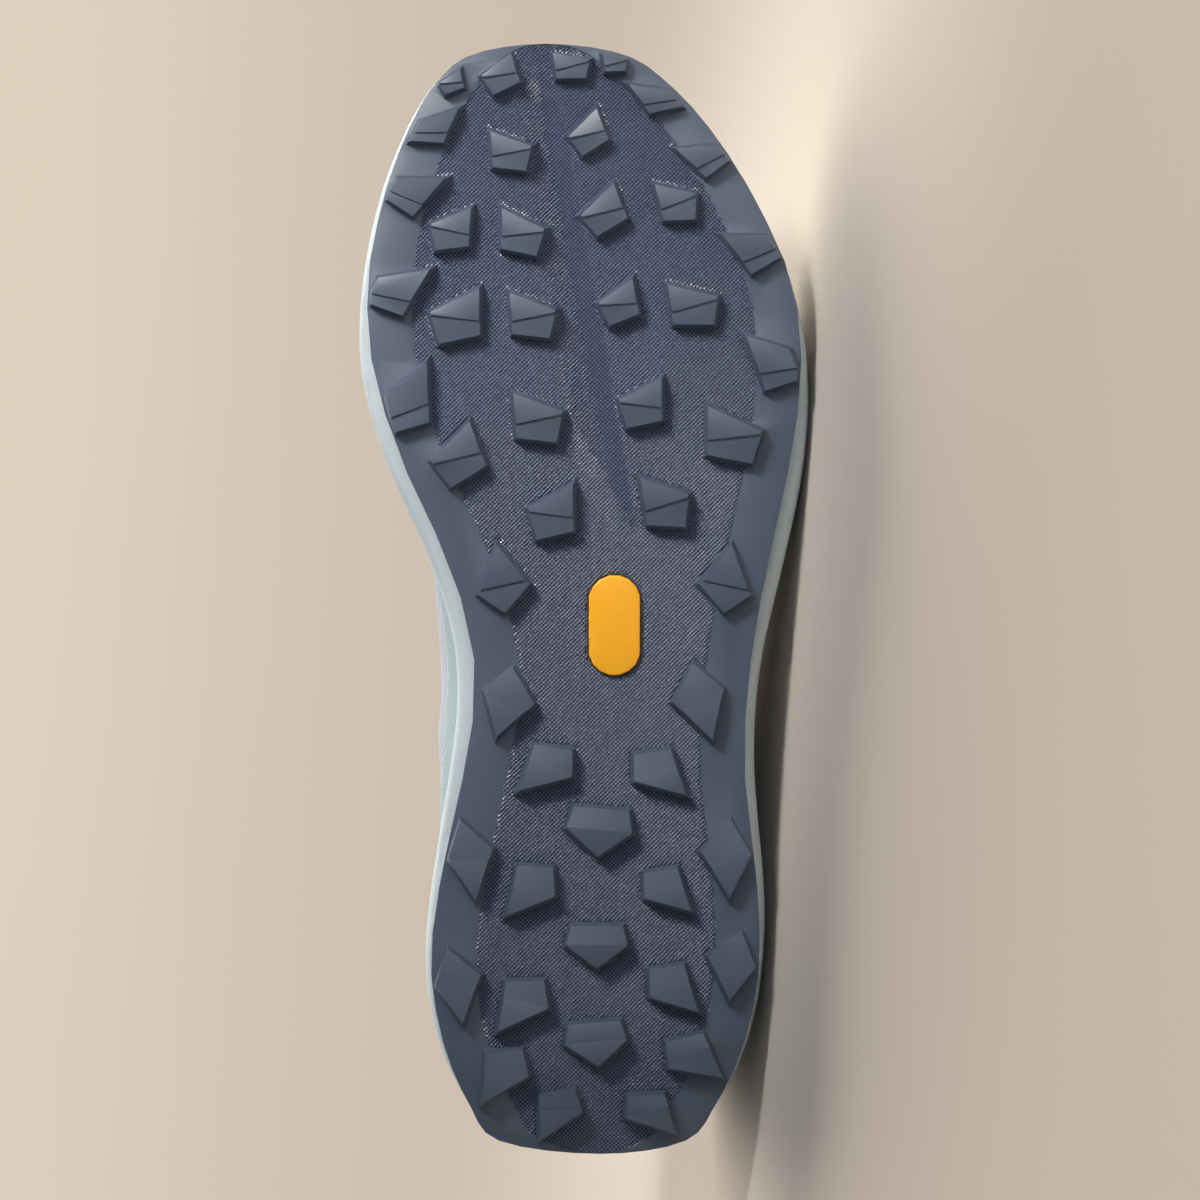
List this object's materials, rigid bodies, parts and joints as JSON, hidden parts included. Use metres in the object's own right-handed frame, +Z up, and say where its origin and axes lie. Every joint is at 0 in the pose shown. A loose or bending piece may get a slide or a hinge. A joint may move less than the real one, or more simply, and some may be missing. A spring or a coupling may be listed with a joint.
{
  "type": "trail running shoe",
  "caption": "Left low-cut trail running shoe with a lugged rubber outsole, thick foam midsole and knit upper, lying empty on its lateral side.",
  "frame": {"origin": "on the floor, under the middle of the bounding box of the lying shoe", "axes": "+X from the heel to the toe, +Y out of the top of the shoe (the sole faces -Y), +Z up, from the lateral side that it lies on to the medial side"},
  "size_m": [0.297, 0.1318, 0.1211],
  "materials": {
    "outsole_rubber": "fine knurled texture, matt",
    "midsole_foam": "smooth moulded foam skin, satin",
    "inlay_rubber": "smooth, satin",
    "upper_knit": "ribbed knit with printed overlays",
    "insole_textile": "brushed textile",
    "tongue_textile": "knit over foam",
    "lace_cord": "flat woven lace"
  },
  "bodies": {
    "root": {"outsole": "outsole_rubber", "midsole": "midsole_foam", "inlay": "inlay_rubber", "upper": "upper_knit", "insole": "insole_textile", "tongue": "tongue_textile", "lace_bar": "lace_cord", "lace_crossing_1": "lace_cord", "lace_crossing_2": "lace_cord", "lace_crossing_3": "lace_cord", "lace_crossing_4": "lace_cord", "lace_crossing_5": "lace_cord"}
  },
  "joints": []
}
